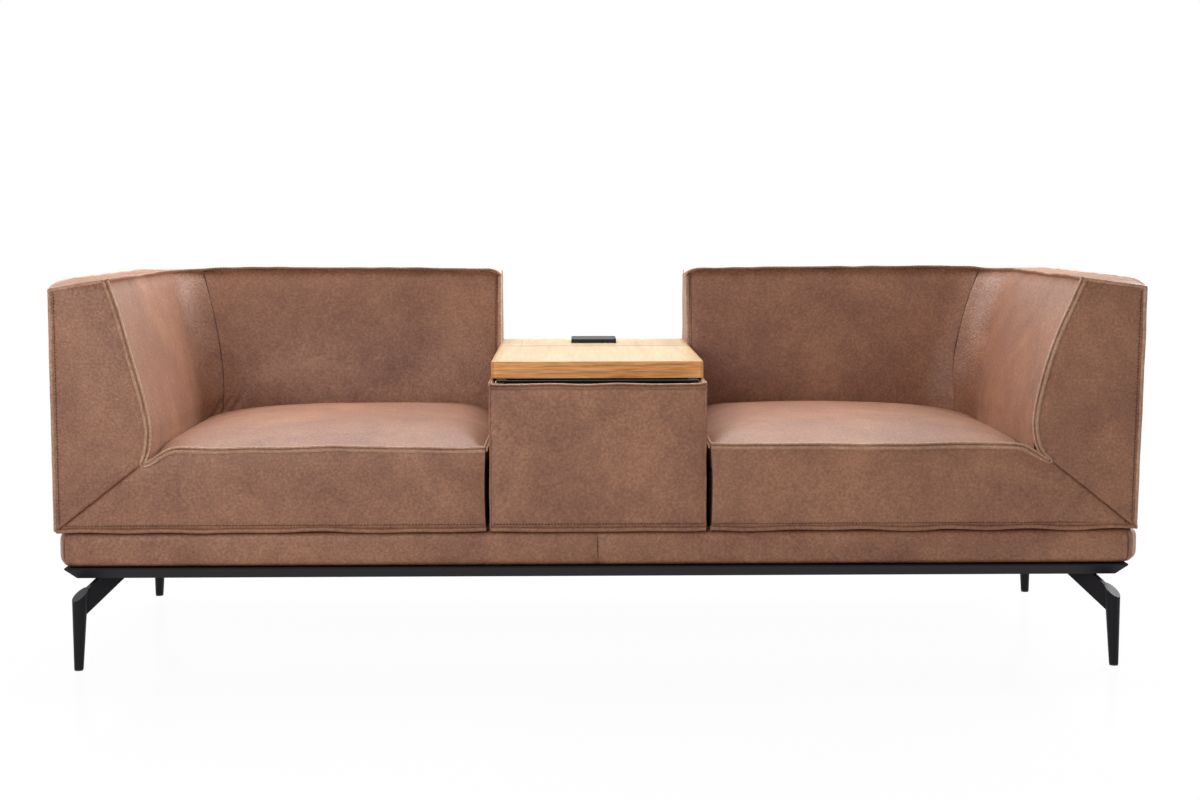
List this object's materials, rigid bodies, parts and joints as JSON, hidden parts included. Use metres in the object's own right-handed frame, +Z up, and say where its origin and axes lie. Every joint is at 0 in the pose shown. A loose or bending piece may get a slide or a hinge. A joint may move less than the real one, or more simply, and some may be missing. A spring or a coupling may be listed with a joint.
{
  "type": "two-seater sofa with centre console",
  "caption": "Two-seater sofa with low leaning arms and backs in leather, a console with an oak lid between the seats, and slanted steel legs.",
  "frame": {"origin": "on the floor, under the centre of the sofa's outer box", "axes": "+X along the width, to the sitter's left hand; the front faces -Y; +Z up"},
  "size_m": [2.22, 0.86, 0.806],
  "materials": {
    "leather": "brown nubuck leather, mottled, matt",
    "oak": "oiled oak, satin",
    "timber": "planed softwood and plywood, raw",
    "frame_steel": "black powder coat, fine texture",
    "hinge_steel": "black zinc",
    "bolt_steel": "zinc plated",
    "black_liner": "black laminate, matt",
    "unit_plastic": "black, satin gloss",
    "glide_plastic": "black nylon",
    "webbing": "woven elastic webbing"
  },
  "bodies": {
    "body": {"arm_board_left": "timber", "arm_board_right": "timber", "arm_pad_left": "leather", "arm_pad_right": "leather", "back_board_left": "timber", "back_board_right": "timber", "back_pad_left": "leather", "back_pad_right": "leather", "charging_bezel": "unit_plastic", "charging_insert": "unit_plastic", "console_board_left": "timber", "console_board_right": "timber", "console_front_panel": "leather", "console_rear_board": "oak", "console_rear_panel": "leather", "console_side_panel_left": "leather", "console_side_panel_right": "leather", "corner_blocks": "timber", "cross_rail_left": "frame_steel", "cross_rail_right": "frame_steel", "foot_glides": "glide_plastic", "front_panel_left": "leather", "front_panel_right": "leather", "hinge_leaf_fixed": "hinge_steel", "hinge_pin": "hinge_steel", "leg_bolts": "bolt_steel", "leg_front_left": "frame_steel", "leg_front_right": "frame_steel", "leg_rear_left": "frame_steel", "leg_rear_right": "frame_steel", "plinth_band_front_left": "leather", "plinth_band_front_right": "leather", "plinth_band_left": "leather", "plinth_band_rear": "leather", "plinth_band_right": "leather", "plinth_beam_inner_left": "timber", "plinth_beam_inner_right": "timber", "plinth_beam_outer_left": "timber", "plinth_beam_outer_right": "timber", "plinth_board_front": "timber", "plinth_board_left": "timber", "plinth_board_rear": "timber", "plinth_board_right": "timber", "rail_front": "frame_steel", "rail_left": "frame_steel", "rail_rear": "frame_steel", "rail_right": "frame_steel", "seat_cushion_left": "leather", "seat_cushion_right": "leather", "seat_rail_front_left": "timber", "seat_rail_front_right": "timber", "seat_rail_rear_left": "timber", "seat_rail_rear_right": "timber", "seat_webbing_left": "webbing", "seat_webbing_right": "webbing", "storage_box": "black_liner"},
    "lid": {"console_lid": "oak", "hinge_leaf_lid": "hinge_steel"},
    "flap": {"charging_flap": "unit_plastic"}
  },
  "joints": [
    {"name": "lid_hinge", "type": "hinge", "parent": "body", "child": "lid", "pos_m": [0, 0.163, 0.628], "axis": [-1, 0, 0], "range_deg": [0, 95]},
    {"name": "flap_hinge", "type": "hinge", "parent": "body", "child": "flap", "pos_m": [0, 0.367, 0.637], "axis": [-1, 0, 0], "range_deg": [0, 100]}
  ]
}
